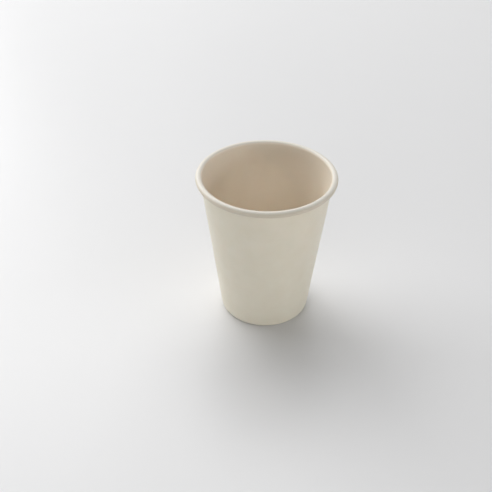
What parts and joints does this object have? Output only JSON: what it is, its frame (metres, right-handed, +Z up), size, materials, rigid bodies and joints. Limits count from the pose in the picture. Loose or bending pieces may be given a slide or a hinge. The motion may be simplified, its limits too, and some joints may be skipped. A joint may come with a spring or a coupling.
{
  "type": "reusable cup",
  "caption": "Plain tapered drinking cup formed from one thin sheet, with a rolled rim, a smooth wall, a rounded foot and a raised base.",
  "frame": {"origin": "centre of the foot, on the surface that the cup stands on", "axes": "+Z up along the cup's axis, through the mouth"},
  "size_m": [0.08, 0.08, 0.092],
  "materials": {
    "cup": "matte cream, fine eggshell grain"
  },
  "bodies": {
    "root": {"cup": "cup"}
  },
  "joints": []
}
